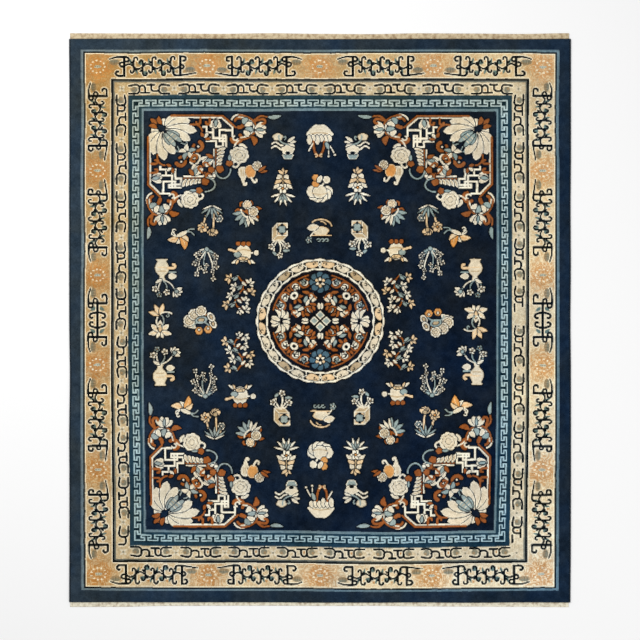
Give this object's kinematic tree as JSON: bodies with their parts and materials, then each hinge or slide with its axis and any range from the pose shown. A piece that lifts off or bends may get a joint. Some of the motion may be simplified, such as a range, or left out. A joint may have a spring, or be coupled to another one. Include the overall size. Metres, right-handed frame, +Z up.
{
  "type": "peking rug",
  "caption": "Hand-knotted wool pile carpet lying flat, with overcast side cords and narrow flat-woven cotton webs across its ends.",
  "frame": {"origin": "on the floor, under the middle of the carpet", "axes": "+Z up out of the pile, +Y along the carpet towards its far end, +X to the right-hand side cord"},
  "size_m": [2.44, 2.79, 0.009],
  "materials": {
    "wool_pile": "matt clipped wool pile, patterned on a navy ground",
    "wool_cord": "matt overcast wool yarn",
    "cotton_web": "matt flat-woven undyed cotton"
  },
  "bodies": {
    "root": {"knotted_pile": "wool_pile", "side_cord_left": "wool_cord", "side_cord_right": "wool_cord", "end_web_far": "cotton_web", "end_web_near": "cotton_web"}
  },
  "joints": []
}
